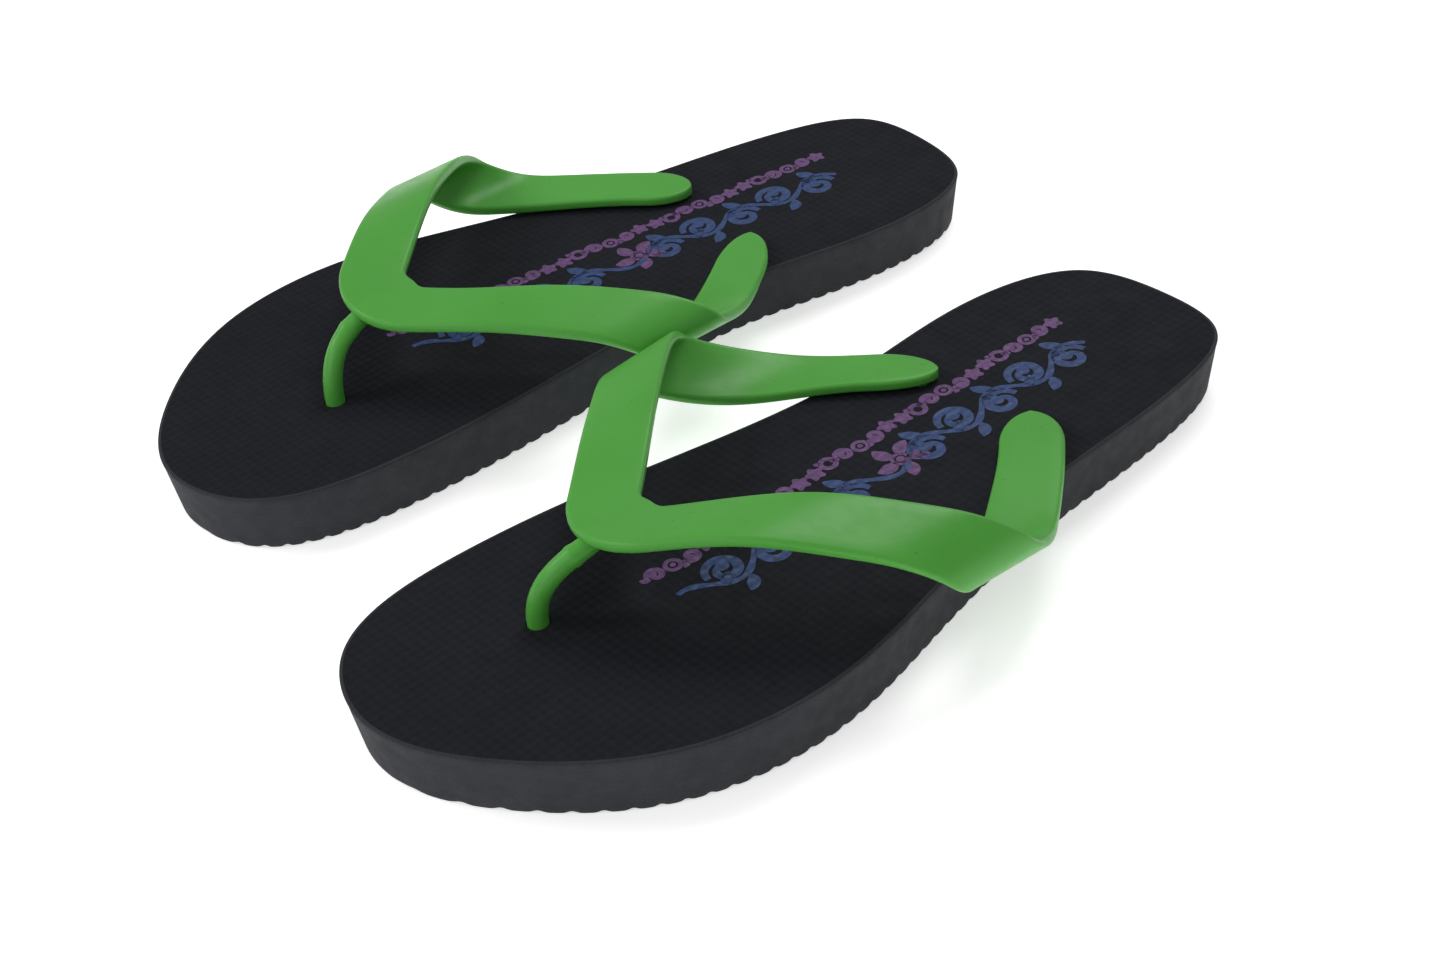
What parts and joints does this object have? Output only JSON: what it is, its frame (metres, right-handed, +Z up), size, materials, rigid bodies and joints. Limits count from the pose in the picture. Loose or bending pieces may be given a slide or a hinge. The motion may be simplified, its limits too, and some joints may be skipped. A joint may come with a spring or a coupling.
{
  "type": "pair of flip-flops",
  "caption": "Pair of flip-flop sandals: dark foam soles with a printed band, one-piece green Y straps plugged through each sole.",
  "frame": {"origin": "centre of the pair's bounding box, on the ground plane", "axes": "+Z up; toes point towards -Y; the left sandal stands at +X and its length runs along Y; the right sandal stands at -X with its toe turned out by 8.5 degrees"},
  "size_m": [0.2548, 0.275, 0.0442],
  "materials": {
    "foam": "matt moulded EVA foam with a fine embossed footbed",
    "strap": "smooth semi-gloss soft PVC"
  },
  "bodies": {
    "left_sandal": {"left_sole": "foam", "left_strap": "strap"},
    "right_sandal": {"right_sole": "foam", "right_strap": "strap"}
  },
  "joints": [
    {"name": "right_lift", "type": "slide", "parent": "left_sandal", "child": "right_sandal", "axis": [0, 0, 1], "range_m": [0, 0.12]}
  ]
}
